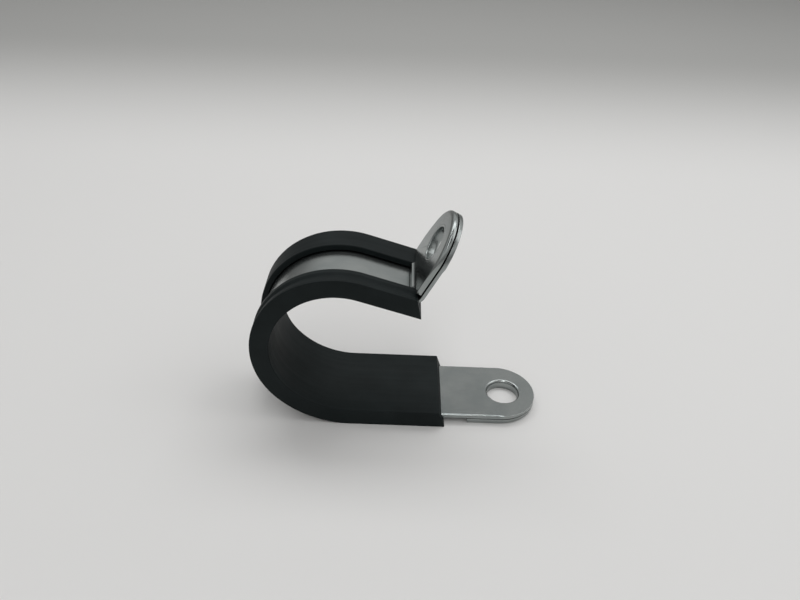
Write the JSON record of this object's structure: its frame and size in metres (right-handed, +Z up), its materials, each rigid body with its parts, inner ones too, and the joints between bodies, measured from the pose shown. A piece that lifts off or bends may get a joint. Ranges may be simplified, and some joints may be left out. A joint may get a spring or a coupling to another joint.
{
  "type": "p clip",
  "caption": "Rubber-lined P clip: a steel strap bent round a pipe or cable, with a fixing hole in each lug and a channel-shaped rubber liner.",
  "frame": {"origin": "centre of the lower fixing hole, at the underside of the lower plate, which is the plane the clip is screwed to and stands on", "axes": "+Z up along the lower fixing hole, +X from the loop towards the lug tips, +Y along the pipe"},
  "size_m": [0.0563, 0.0182, 0.0427],
  "materials": {
    "rubber": "matte extruded rubber",
    "steel": "satin zinc plating"
  },
  "bodies": {
    "root": {"rubber_liner": "rubber", "steel_band": "steel", "upper_bracket": "steel", "lower_plate": "steel"}
  },
  "joints": []
}
